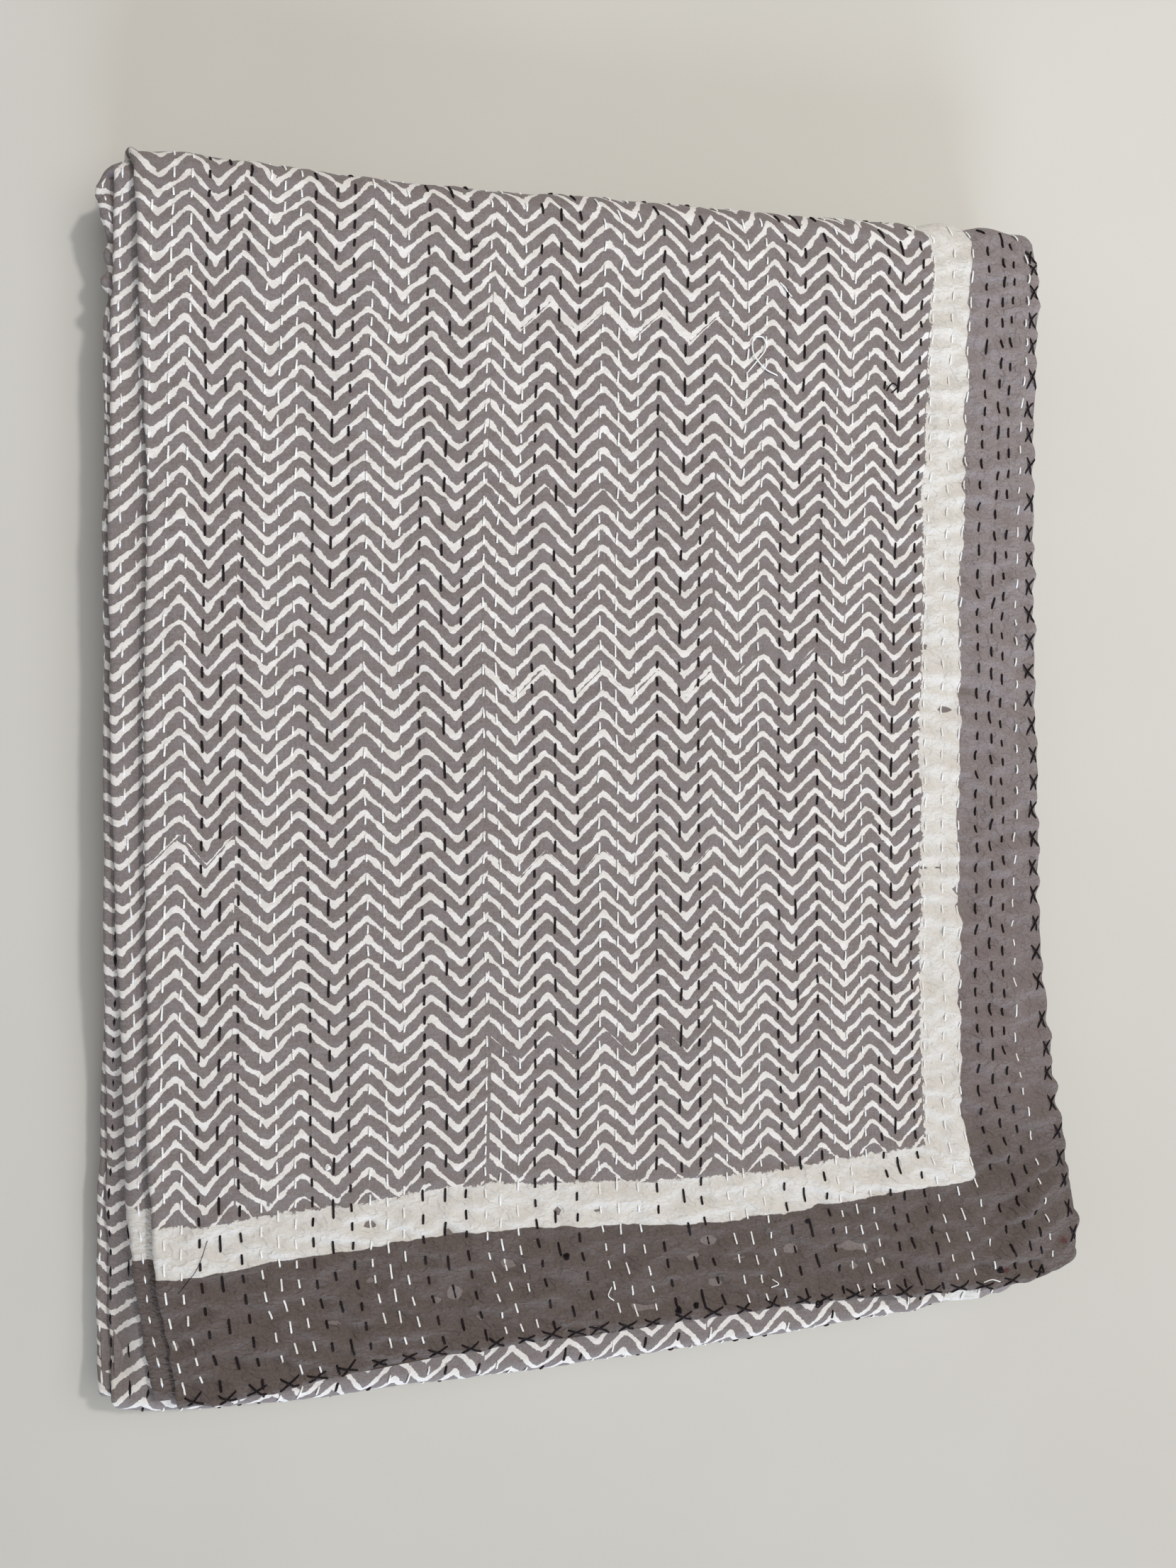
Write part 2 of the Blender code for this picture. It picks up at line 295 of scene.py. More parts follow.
# ---------------- the flat cloth's coordinates

# The cloth's hems in the print's frame.
EDGE_U, FAR_U = 245, -1767
NEAR_V, FAR_V = -300, 2200
PLAIN_PITCH = 9.3  # between stitch columns out of sight

# How far the lower plies have slipped along u at the two folds on the left.
SLIPS = [
    # in s: from, all, until, gone; then at t: how far
    ((0, 1, 2, 3), (0, 1, 2, 3, 4), (0, 0, -9.6, -9.6, 0)),
    ((3, 5, 6, 7), (0, 0.8, 0.95, 2, 3, 4), (5.5, 5.5, 12, 13.5, 13.5, 0)),
]


def slip(s, t):
    """How far a place of the lower plies has slipped along u."""
    return sum(
        np.interp(s, reach, (0, 1, 1, 0)) * np.interp(t, at, far) for reach, at, far in SLIPS
    )


def drift(x, y):
    """How far the top ply's threads have slid towards +X at a place."""
    slid_from = (
        245 - 30 * np.clip((x + 100) / 246, 0, 1) - 60 * np.clip((x - 146) / 94, 0, 1) ** 1.6
    )
    wander = 1.6 * noise(x / 90 + 3, y / 110, 5) * ease((210 - x) / 60)
    spread = -0.03 * past(-y, 60) * ease((-130 - x) / 110)
    return 0.035 * past(y - 80, 40) + 0.21 * past(-y - slid_from, 14) + wander + spread


def grid_lines(counts):
    """Lines over the sheet's seven stretches, this many in each."""
    stretches = [k + np.linspace(0, 1, n, endpoint=False) for k, n in enumerate(counts)]
    return np.concatenate([*stretches, [7]])


def cloth_table():
    """U and V on a fine grid of s and t, with the grid's lines."""
    s = grid_lines((40, 10, 40, 10, 40, 10, 40))
    t = grid_lines((90, 16, 90, 16, 90, 16, 90))
    ss, tt = np.meshgrid(s, t, indexing="ij")
    place = fold_point(ss, tt)
    x, y = place[..., 0], place[..., 1]

    step_s = np.linalg.norm(np.diff(place, axis=0), axis=-1)
    along_s = np.concatenate([np.zeros((1, len(t))), np.cumsum(step_s, 0)])
    top = (ss <= 1) & (tt <= 1)
    u_hem = np.where(t <= 1, x[0] - drift(x[0], y[0]), 0)
    u_top = u_hem[np.searchsorted(t, 1)]
    u_hem = np.where(t <= 1, u_hem, u_top + (EDGE_U - u_top) * ease(t - 1))
    i_nose = np.searchsorted(s, 1)
    slid = x - drift(x, y)
    u_nose = np.where(t <= 1, slid[i_nose], u_hem - along_s[i_nose])
    past_nose = along_s - along_s[i_nose]
    u = np.where(ss <= 1, u_hem - along_s, u_nose - past_nose * (u_nose - FAR_U) / past_nose[-1])
    u = np.where(top, slid, u + slip(ss, tt))

    step_t = np.linalg.norm(np.diff(place, axis=1), axis=-1)
    along_t = np.concatenate([np.zeros((len(s), 1)), np.cumsum(step_t, 1)], 1)
    j_turn = np.searchsorted(t, 1)
    outer = along_t[np.searchsorted(s, 0.5)] - along_t[np.searchsorted(s, 0.5), j_turn]
    inner = along_t[np.searchsorted(s, 6.5)] - along_t[np.searchsorted(s, 6.5), j_turn]
    share = ease((ss - 2.1) / 2.8)
    after = (1 - share) * outer + share * inner
    v_turn = y[:, j_turn : j_turn + 1]
    v = np.where(tt <= 1, y, v_turn + after * (FAR_V - v_turn) / after[:, -1:])
    # The cloth is drawn askew where it goes over the far fold.
    askew = 0.5 * past(v - 302, 4) * ease((x + 60) / 60) * ease((185 - x) / 20)
    u = u + np.where((ss <= 1) & (tt < 2), askew * ease(2 - tt), 0)
    return s, t, u, v


S_GRID, T_GRID, U_GRID, V_GRID = cloth_table()


def from_grid(values, s, t):
    i = np.clip(np.searchsorted(S_GRID, s, side="right") - 1, 0, len(S_GRID) - 2)
    j = np.clip(np.searchsorted(T_GRID, t, side="right") - 1, 0, len(T_GRID) - 2)
    f = (s - S_GRID[i]) / (S_GRID[i + 1] - S_GRID[i])
    g = (t - T_GRID[j]) / (T_GRID[j + 1] - T_GRID[j])
    return bilinear(values, i, j, f, g)


def cloth_at(s, t):
    return from_grid(U_GRID, s, t), from_grid(V_GRID, s, t)


# ---------------- stitch columns and relief

# The top ply's columns of running stitch: u, length of a stitch, pitch.
COLUMNS = {
    "white": [
        (232, 5, 12.5), (196.3, 5.5, 13), (185.5, 5.5, 12.6), (174, 5, 11.5),
        (135.5, 5, 11), (125.5, 5.5, 11.2), (117, 5, 10.8), (73.5, 5, 11),
        (62.2, 5.5, 11.4), (53.4, 5, 11), (2, 5, 11.2), (-9.1, 6.5, 12),
        (-18.5, 5, 11), (-62.5, 5, 11.2), (-72.5, 6, 11.6), (-80.5, 5, 11),
        (-123.4, 5, 11), (-132.3, 6.5, 11.8), (-140.5, 5, 10.9), (-175.8, 5, 10.8),
        (-184, 6, 11.5), (-190.8, 5, 11), (-227.5, 5, 11.3), (-236.5, 6.5, 11.9),
        (-245.5, 5, 11.2),
    ],
    "dark": [
        (224, 5, 12), (216.5, 6.5, 12.5), (207.5, 5.5, 11.6), (166, 5, 10.8),
        (154, 8, 17.5), (146, 5, 10.9), (108.5, 5, 11.2), (96.4, 8, 18.2),
        (85.5, 5, 11.3), (38.1, 5, 11), (27.5, 8, 18.4), (13.8, 5.5, 11.4),
        (-31, 5, 10.9), (-42.5, 7.5, 17.8), (-53.8, 5, 11), (-90.5, 5, 11),
        (-101, 8, 18.5), (-113, 5, 10.6), (-150.1, 5, 10.6), (-158.5, 7.8, 18.6),
        (-168, 5, 10.4), (-200.7, 5.2, 11.1), (-210.2, 8.2, 18.8), (-219.6, 5, 11.8),
    ],
}


def all_columns():
    """The measured columns, and plain ones in threes over the rest of the cloth."""
    found = [(row[0], thread, *row[1:]) for thread, rows in COLUMNS.items() for row in rows]
    found.sort(reverse=True)
    last = found[-1][0]
    k = 0
    while True:
        k += 1
        u = last - PLAIN_PITCH * k
        if u < FAR_U + 12:
            return found
        middle = k % 3 == 2
        if (k - 1) // 3 % 2 == 0:
            found.append((u, "dark", 8.0 if middle else 5.2, 18.4 if middle else 11.2))
        else:
            found.append((u, "white", 6.0 if middle else 5.2, 11.4))


ALL_COLUMNS = all_columns()
COLUMN_U = np.array([row[0] for row in ALL_COLUMNS])[::-1]
COLUMN_STITCH = np.array([row[2] for row in ALL_COLUMNS])[::-1]
COLUMN_PITCH = np.array([row[3] for row in ALL_COLUMNS])[::-1]
COLUMN_THREAD = [row[1] for row in ALL_COLUMNS][::-1]
COLUMN_START = NEAR_V + 9 + np.random.RandomState(5).rand(len(COLUMN_U)) * 6


def column_u(k, v):
    """u of column k at v: hand-sewn rows wander."""
    return COLUMN_U[k] + 1.1 * noise(COLUMN_U[k] / 3.1 + 0 * v, v / 60, 1)


def column_phase(k, v):
    """How many stitches from the start of column k to v, unevenly spaced."""
    count = (v - COLUMN_START[k]) / COLUMN_PITCH[k]
    return count + 0.35 * noise(v / 38, COLUMN_U[k] / 2.3 + 0 * v, 2)


def relief(u, v):
    """The quilting's height in mm: dips under each stitch, and soft puffs between."""
    right = np.clip(np.searchsorted(COLUMN_U, u), 1, len(COLUMN_U) - 1)
    left = right - 1
    f = (u - COLUMN_U[left]) / (COLUMN_U[right] - COLUMN_U[left])
    inside = (f >= 0) & (f <= 1)
    share = ease(f)
    centre = [0.5 * COLUMN_STITCH[k] / COLUMN_PITCH[k] for k in (left, right)]
    ripple = [
        -np.cos(2 * np.pi * (column_phase(k, v) - c)) for k, c in zip((left, right), centre)
    ]
    puff = np.sin(np.pi * np.clip(f, 0, 1)) ** 2
    across = ripple[0] * (1 - share) + ripple[1] * share
    ripple_size = 0.38 + 0.5 * ease((100 - border_depth(u, v)) / 25)
    height = ripple_size * across * (1 - 0.3 * puff)
    height = height + puff * (0.38 + 0.26 * noise(u / 21, v / 9, 3))
    return np.where(inside, height, 0)


def border_depth(u, v):
    """How far inside the cloth's nearest hem, in mm."""
    return np.minimum(
        np.minimum(EDGE_U - u, u - FAR_U), np.minimum(v - NEAR_V, FAR_V - v)
    )


# Soft creases on the top ply, in its own x and y: from, to, half width, height.
CREASES = [
    # x0, y0, x1, y1, half width, height
    (208, -266, 262, -240, 3.8, 1.9), (216, -283, 268, -258, 4.2, 1.9),
    (205, -234, 252, -220, 4, -1.2), (214, -252, 258, -232, 3.4, -1.2),
    (203, -222, 256, -198, 4, 1.2), (212, -240, 262, -222, 3.2, 1.2),
    (226, -290, 268, -272, 3.4, -1), (160, -292, 212, -276, 3.6, 0.9),
    (150, -248, 204, -252, 3.6, 0.9), (158, -262, 200, -258, 3.2, -0.7),
    (120, -262, 205, -246, 4.5, -0.8), (95, -272, 200, -268, 4.5, 0.8),
    (-235, -262, -160, -262, 4, -0.7), (-150, -281, -60, -272, 4, 0.6),
    (-30, -256, 60, -262, 4.5, -0.6), (-215, -280, -120, -284, 4.5, 0.7),
    (60, -284, 150, -268, 4, -0.5), (205, 200, 240, 214, 5, -0.6),
    (205, 244, 235, 252, 4.5, 0.6), (210, 176, 238, 184, 4.5, 0.6),
    (206, 120, 240, 132, 5, 0.6), (204, 40, 238, 56, 5, -0.6),
    (206, -20, 240, -8, 5, 0.6), (208, -90, 242, -78, 5, -0.6),
    (212, -174, 246, -160, 5, 0.7), (-240, 240, -236, 60, 7, 0.7),
    (-238, 20, -240, -160, 7, 0.6), (-130, -222, -20, -217, 3, 0.4),
    (60, -224, 160, -229, 3, 0.4),
]


def creases(x, y):
    """The creases' height at a place of the top ply."""
    height = np.zeros_like(x)
    for x0, y0, x1, y1, half, lift in CREASES:
        dx, dy = x1 - x0, y1 - y0
        length = math.hypot(dx, dy)
        along = ((x - x0) * dx + (y - y0) * dy) / length
        off = ((x - x0) * -dy + (y - y0) * dx) / length + 3 * np.sin(along / 14 + x0)
        ends = ease(along / 18 + 0.5) * ease((length - along) / 18 + 0.5)
        height += 1.5 * lift * np.exp(-((off / half) ** 2)) * ends
    return height


def lift_top(s, t, x, y, z):
    """The top ply lies loosely: lifts, creases, and its left fold and start hem raised."""
    top = (s <= 1) & (t <= 1)
    fade = ease((1 - s) / 0.03) * ease((1 - t) / 0.03)
    lift = 0.5 + 0.5 * noise(x / 75 + 9, y / 85, 4)
    z = z + np.where(top, fade * (0.9 * lift + np.maximum(creases(x, y), -1.5) + 0.5), 0)
    z = z + np.where((s <= 3) & (t <= 1), 1.2 * ease((-236 - x) / 12) * ease((1 - t) / 0.04), 0)
    hem_lift = ease(1 - t / 0.03) * (0.6 + 0.6 * noise(x / 26, 0 * x, 6))
    return z + np.where(top, hem_lift * fade, 0)


def scallop_hems(s, t, x, y):
    """The top ply's hems, drawn in by their cross stitches."""
    top = (s <= 1) & (t <= 1)
    from_side = np.where(top, s * PLY_WIDTH, 1e3)
    from_start = np.where(top, t * RUN_LENGTH, 1e3)
    pulled = np.cos(2 * np.pi * np.interp(y, *RIGHT_PULLS)) + 0.8 * noise(y / 8.5, 0 * y + 2.5, 7)
    x = x - HEM_SCALLOP * pulled * ease(1 - from_side / 12)
    pulled = np.cos(2 * np.pi * np.interp(x, *BOTTOM_PULLS)) + noise(x / 7.5, 0 * x + 7.5, 7)
    y = y + 0.5 * HEM_SCALLOP * pulled * ease(1 - from_start / 12)
    return x, y


def work_left_folds(s, t, x, y, z):
    """The lower plies at the left: ruffled at the far end, dipped beside the top ply's fold."""
    x = x + 0.8 * noise(y / 26, z / 9, 0) * ease((-225 - x) / 30)
    ruffled = ease((y - 225) / 25) * ease((-246 - x) / 10) * ease((38 - z) / 5)
    bulge = 4.5 * np.exp(-(((y - 303) / 9) ** 2)) - 0.6
    x = x - ruffled * (bulge + 2.0 * noise(y / 6.5, z / 8, 2) + 1.2 * noise(y / 13, z / 9 + 4, 5))
    z = z + ruffled * 1.5 * noise(y / 6.5 + 9, z / 8, 3) * ease((z - 4) / 8)
    depth = np.select([(s > 3.5) & (t <= 1), t > 1], [1.7, 1.2], 0)
    dip = np.exp(-(((x + 251) / 3.6) ** 2)) * ease((y + 290) / 30) * ease((z - 30) / 4)
    return x, z - depth * dip


def draw_corners(top, x, y, z):
    """The far fold drawn in at both its ends, the near left plies' sag, and the far left ear."""
    drawn = 0.8 + 3.0 * ease((-120 - x) / 80) + 4.0 * ease((-261 - x) / 6)
    y = y - drawn * ease((y - 285) / 22)
    x = x - 5 * ease((y - 303) / 15) * ease((x - 225) / 18)
    low = ease((-254 - x) / 14) * ease((-80 - y) / 80) * ease((y + 306) / 22)
    low = np.where(top, 0, low)
    x, z = x - 1.5 * low, HALF + (z - HALF) * (1 - 0.3 * low)
    ear = np.exp(-(((x + 252) / 4) ** 2)) * ease((y - 292) / 12) * ease((z - 14) / 10)
    tuck = np.exp(-(((x + 251.5) / 3.2) ** 2) - ((y - 308) / 3.4) ** 2) * ease((z - 26) / 8)
    y = y + 4.5 * ear
    return x, y, z + np.where(top, 0, 2 * ear) - np.where(top, 0.5, 7.0) * tuck


def shape_point(s, t):
    """The middle layer with its larger unevenness: lifted hems, creases, ruffled folds."""
    place = fold_point(s, t)
    x, y, z = (place[..., k] for k in range(3))
    z = lift_top(s, t, x, y, z)
    x, y = scallop_hems(s, t, x, y)
    x, z = work_left_folds(s, t, x, y, z)
    x, y, z = draw_corners((s <= 1) & (t <= 1), x, y, z)
    in_turn = (np.floor(t).astype(int) % 2 == 1) | (np.abs(t - np.round(t)) < 0.02)
    y = y + np.where(in_turn, 0.7 * noise(x / 17, z / 12, 3), 0) * np.sign(y)
    return np.stack([x, y, z], -1)


def outward(s, t):
    """The printed face's normal."""
    step = 2e-3
    ds = shape_point(s + step, t) - shape_point(s - step, t)
    dt = shape_point(s, t + step) - shape_point(s, t - step)
    normal = np.cross(dt, ds)
    return normal / np.maximum(np.linalg.norm(normal, axis=-1, keepdims=True), 1e-12)


def open_share(s, t):
    """1 where the printed face is open to view or touch, so that it may stand up."""
    top = (s <= 1) & (t <= 1)
    turn_1 = (s <= 1) & (t > 1) & (t < 2)
    turn_3 = (s <= 1) & (t > 5) & (t < 6)
    turn_2 = (s >= 6) & (t > 3) & (t < 4)
    noses = (s > 1) & (s < 2) | (s > 5) & (s < 6)
    bottom = (s <= 1) & (t >= 6)
    return np.select([top, turn_1 | turn_2 | turn_3, noses, bottom], [1.0, 0.9, 0.5, 0.0], 0.25)


def hem_swell(s, t):
    """The turned-in hem is a little thicker."""
    from_hem = np.minimum(np.minimum(s, 7 - s) * PLY_WIDTH, np.minimum(t, 7 - t) * RUN_LENGTH)
    return 0.3 * ease((11 - from_hem) / 4) * np.where((s <= 1) & (t >= 6), 0, 1)


def face_point(s, t, side=1):
    """A point of the printed (1) or back (-1) face, in metres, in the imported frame."""
    u, v = cloth_at(s, t)
    place = shape_point(s, t)
    height = HALF
    if side > 0:
        depth = border_depth(u, v)
        plain = 0.35 + 0.65 * ease((100 - depth) / 25) + 0.35 * ease((58 - depth) / 12)
        wrinkle = 1.35 * noise(u / 15 + v / 30, v / 7.5 - u / 50, 6)
        wrinkle = (wrinkle + 1.05 * noise(u / 10, v / 9 + u / 14, 1)) * plain
        height = height - 0.1 + hem_swell(s, t) + open_share(s, t) * (relief(u, v) + wrinkle)
    place = place + outward(s, t) * np.asarray(side * height)[..., None]
    place[..., :2] -= BOX_MIDDLE
    return place * MM


# ---------------- the cloth's mesh

# Faces across each block of the sheet: how many, or (from, to, how many) in shares of it.
NEAR_END = [(0, 0.92, 6), (0.92, 1, 12)]
NEAR_START = [(0, 0.08, 12), (0.08, 1, 6)]
SIDE_T = [(0, 0.89, 118), (0.89, 1, 42)]
SIDE_T_BACK = [(0, 0.11, 42), (0.11, 1, 118)]
BLOCK_FACES = {
    # (s stretch, t stretch): (across, along)
    (0, 0): (200, 246), (1, 0): (7, 246), (0, 1): (200, 14), (1, 1): (7, 14),
    (3, 0): (6, 60), (4, 0): (NEAR_END, SIDE_T), (5, 0): (7, SIDE_T),
    (4, 1): (NEAR_END, 18), (5, 1): (7, 18),
    (5, 2): (7, SIDE_T_BACK), (6, 2): (NEAR_START, SIDE_T_BACK),
    (1, 2): (7, SIDE_T_BACK), (2, 2): (NEAR_START, SIDE_T_BACK),
    (6, 3): (150, 14), (5, 3): (7, 12), (1, 3): (7, 12),
    (0, 4): (NEAR_END, 100), (1, 4): (7, 100), (5, 4): (7, 100),
    (0, 5): (110, 12), (1, 5): (7, 10), (5, 5): (7, 10),
    (0, 6): (78, 92), (1, 6): (7, 100), (5, 6): (7, 60),
}
SQUARE = ((0, 0), (1, 0), (1, 1), (0, 1))
HIDDEN_S = {0: 6, 1: 5, 2: 6, 3: 5, 4: 6, 5: 5, 6: 6}
HIDDEN_T = {0: 24, 1: 8, 2: 16, 3: 8, 4: 16, 5: 8, 6: 16}

# Where each block's faces lie in the OFBake map: x, y, width, height.
BAKE_PLACES = {
    (0, 0): (0.004, 0.004, 0.790, 0.972), (0, 6): (0.800, 0.004, 0.196, 0.240),
    (0, 1): (0.004, 0.980, 0.790, 0.016), (6, 3): (0.800, 0.250, 0.196, 0.030),
    (0, 5): (0.800, 0.284, 0.196, 0.024),
}
BAKE_STRIPS = {
    # block: x, width
    (1, 0): (0.800, 0.012), (4, 0): (0.816, 0.040), (5, 0): (0.860, 0.012),
    (6, 2): (0.876, 0.028), (5, 2): (0.908, 0.012), (2, 2): (0.924, 0.028),
    (1, 2): (0.956, 0.012), (1, 4): (0.972, 0.010),
}
for block, (x, wide) in BAKE_STRIPS.items():
    BAKE_PLACES[block] = (x, 0.312, wide, 0.400)


def block_lines(i, j, side):
    """The lines of s and of t that cut a block into faces."""
    hidden = (HIDDEN_S[i], HIDDEN_T[j])
    across, along = BLOCK_FACES.get((i, j), hidden) if side > 0 else hidden
    lines = []
    for start, parts in ((i, across), (j, along)):
        line = [float(start)]
        for a, b, n in [(0, 1, parts)] if isinstance(parts, int) else parts:
            line += [start + a + (b - a) * (k + 1) / n for k in range(n)]
        lines.append([round(x, 7) for x in line])
    return lines


def zipped(a, b, along):
    """Triangles between two rows of (face, s, t) points."""
    i = j = 0
    cells = []
    while i < len(a) - 1 or j < len(b) - 1:
        if j == len(b) - 1 or (i < len(a) - 1 and a[i + 1][along] <= b[j + 1][along]):
            cells.append([a[i], a[i + 1], b[j]])
            i += 1
        else:
            cells.append([a[i], b[j + 1], b[j]])
            j += 1
    return cells


def block_cells(i, j, side):
    """A block's faces as lists of (face, s, t), meeting its neighbours' finer lines."""
    s, t = block_lines(i, j, side)

    def border(other, axis, own):
        k, m = other
        if not (0 <= k < 7 and 0 <= m < 7):
            return own
        theirs = block_lines(k, m, side)[axis]
        return theirs if len(theirs) > len(own) else own

    left, right = border((i - 1, j), 1, t), border((i + 1, j), 1, t)
    low, high = border((i, j - 1), 0, s), border((i, j + 1), 0, s)
    a0, a1 = int(left != t), len(s) - 1 - int(right != t)
    b0, b1 = int(low != s), len(t) - 1 - int(high != s)
    cells = [
        [(side, s[a + p], t[b + q]) for p, q in SQUARE]
        for a in range(a0, a1)
        for b in range(b0, b1)
    ]
    for line, other, a in ((left, t, a0), (right, t, a1)):
        if line != other:
            edge = [(side, s[0] if a == a0 else s[-1], x) for x in line]
            cells += zipped(edge, [(side, s[a], t[b]) for b in range(b0, b1 + 1)], 2)
    for line, other, b in ((low, s, b0), (high, s, b1)):
        if line != other:
            edge = [(side, x, t[0] if b == b0 else t[-1]) for x in line]
            cells += zipped(edge, [(side, s[a], t[b]) for a in range(a0, a1 + 1)], 1)
    return cells, s, t


def rim_cells(index):
    """The hem's edge, from the printed face round to the back, all round the sheet."""
    cells = []
    for axis in (1, 2):
        for value in (0.0, 7.0):
            front, back = (
                sorted(k for k in index if k[0] == side and k[axis] == value) for side in (1, -1)
            )
            edge = [(0, *k[1:]) for k in front]
            for k in range(len(front) - 1):
                cells.append([front[k], front[k + 1], edge[k + 1], edge[k]])
            cells += zipped(edge, back, 3 - axis)
    return cells


def edge_point(s, t):
    """The middle of the hem's rounded edge."""
    inside = face_point(np.clip(s, 0.004, 6.996), np.clip(t, 0.004, 6.996))
    front, back = face_point(s, t), face_point(s, t, -1)
    out = front - inside
    out /= np.maximum(np.linalg.norm(out, axis=-1, keepdims=True), 1e-9)
    return (front + back) / 2 + out * HEM_ROUND * MM


def spare_places():
    """Small places in the OFBake map for everything that is hardly seen."""
    k = 0
    while True:
        yield (0.800 + 0.020 * (k % 10), 0.720 + 0.021 * (k // 10), 0.015, 0.016)
        k += 1


def add_object(name, data):
    made = bpy.data.objects.new(name, data)
    bpy.context.scene.collection.objects.link(made)
    return made


def mesh_object(name, points, faces, maps, slots=None):
    """A closed mesh with its faces looking out; maps are {name: one pair for each corner}."""
    data = bpy.data.meshes.new(name)
    data.from_pydata(points.tolist(), [], faces)
    for key, pairs in maps.items():
        data.uv_layers.new(name=key).data.foreach_set("uv", np.asarray(pairs, float).ravel())
    if slots:
        data.polygons.foreach_set("material_index", slots)
    shape = bmesh.new()
    shape.from_mesh(data)
    bmesh.ops.recalc_face_normals(shape, faces=shape.faces)
    shape.to_mesh(data)
    shape.free()
    data.shade_smooth()
    return add_object(name, data)


def build_cloth():
    """The whole sheet as one closed mesh, with its flat coordinates and its OFBake map."""
    spare = spare_places()
    cells, bake, slots = [], [], []
    for side in (1, -1):
        for i in range(7):
            for j in range(7):
                block, s, t = block_cells(i, j, side)
                x, y, wide, high = side > 0 and BAKE_PLACES.get((i, j)) or next(spare)
                corners = np.array([corner for cell in block for corner in cell])
                p = np.interp(corners[:, 1], s, np.linspace(0, 1, len(s)))
                q = np.interp(corners[:, 2], t, np.linspace(0, 1, len(t)))
                bake.append(np.stack([x + wide * p, y + high * q], -1))
                slots += [PRINTED if side > 0 else PLAIN] * len(block)
                cells += block
    index = {}
    for cell in cells:
        for corner in cell:
            index.setdefault(corner, len(index))
    rim = rim_cells(index)
    for cell in rim:
        for corner in cell:
            index.setdefault(corner, len(index))
    x, y, wide, high = next(spare)
    square = [(x, y), (x + wide, y), (x + wide, y + high), (x, y + high)]
    bake.append(np.array([pair for cell in rim for pair in square[: len(cell)]]))
    slots += [PRINTED] * len(rim)
    cells += rim

    kind, s, t = np.array(list(index)).T
    where = np.empty((len(kind), 3))
    for side, place in ((1, face_point), (0, edge_point), (-1, lambda s, t: face_point(s, t, -1))):
        where[kind == side] = place(s[kind == side], t[kind == side])
    faces = [[index[corner] for corner in cell] for cell in cells]
    corners = np.concatenate(faces)
    flat = np.stack(cloth_at(s, t), -1) * MM
    maps = {"cloth": flat[corners], "OFBake": np.concatenate(bake)}
    return mesh_object("quilt_cloth", where, faces, maps, slots)


# ---------------- thread

def run_of(u):
    """s and v, at every line of t, of a line that runs at these u."""
    s = np.array([np.interp(-u[j], -U_GRID[:, j], S_GRID) for j in range(len(T_GRID))])
    return s, from_grid(V_GRID, s, T_GRID)


def stitch_run(k):
    """Where stitch column k runs on the sheet."""
    _, v = run_of(np.full(len(T_GRID), COLUMN_U[k]))
    return run_of(column_u(k, v))


def seen(s, t):
    """2 where the face is in plain view, 1 at the packet's sides and underside, or else 0."""
    side_fold = (s > 0.985) & (s < 2.02) | (s > 4.95) & (s < 6.05)
    end_fold = (t > 0.99) & (t < 2) & (s <= 1) | (t > 5) & (t < 6) & (s <= 1)
    plain = (s <= 1) & (t <= 1) | (s >= 6) & (t > 3) & (t < 4) | (t > 1) & (t < 2) & (s < 1)
    corner = (s > 0.97) & (s < 2.05) & (t > 0.98) & (t < 2)
    level = np.where(plain, 2, np.where(side_fold | end_fold | (s <= 1) & (t >= 6), 1, 0))
    return np.where(corner, 0, level)


class Threads:
    """Many short lengths of thread on the printed face, joined in one mesh."""

    def __init__(self, name):
        self.name, self.tubes = name, []

    def lay(self, s, t, lift, sides, radius):
        """One tube along each row of places; lift is its middle's height over the face."""
        up = outward(s, t)
        centre = face_point(s, t) + up * (lift * MM)[..., None]
        along = np.gradient(centre, axis=1)
        along /= np.linalg.norm(along, axis=-1, keepdims=True)
        across = np.cross(along, up)
        across /= np.linalg.norm(across, axis=-1, keepdims=True)
        up = np.cross(across, along)
        turn = np.linspace(0, 2 * np.pi, sides, endpoint=False)[:, None]
        rings = centre[:, :, None] + radius * MM * (
            across[:, :, None] * np.cos(turn) + THREAD_FLATNESS * up[:, :, None] * np.sin(turn)
        )
        rings[..., 2] = np.maximum(rings[..., 2], RESTING_THREAD * MM)
        self.tubes += list(rings)

    def build(self):
        points, faces, bake, twist = [], [], [], []
        base, grid = 0, math.ceil(math.sqrt(len(self.tubes)))
        for n, rings in enumerate(self.tubes):
            count, sides = rings.shape[:2]
            middle = rings.mean(axis=1)
            length = np.cumsum(np.linalg.norm(np.diff(middle, axis=0, prepend=middle[:1]), axis=1))
            x, y, wide = (n % grid) / grid, (n // grid) / grid, 0.8 / grid

            def corner(r, k):
                bake.append((x + wide * r / (count - 1), y + wide * k / sides))
                twist.append((length[r], k / sides))
                return base + r * sides + k % sides

            for r in range(count - 1):
                for k in range(sides):
                    faces.append([corner(r + p, k + q) for p, q in SQUARE])
            for r in (0, count - 1):
                faces.append([corner(r, k) for k in range(sides)])
            points.append(rings.reshape(-1, 3))
            base += count * sides
        maps = {"thread": twist, "OFBake": bake}
        return mesh_object(self.name, np.concatenate(points), faces, maps)


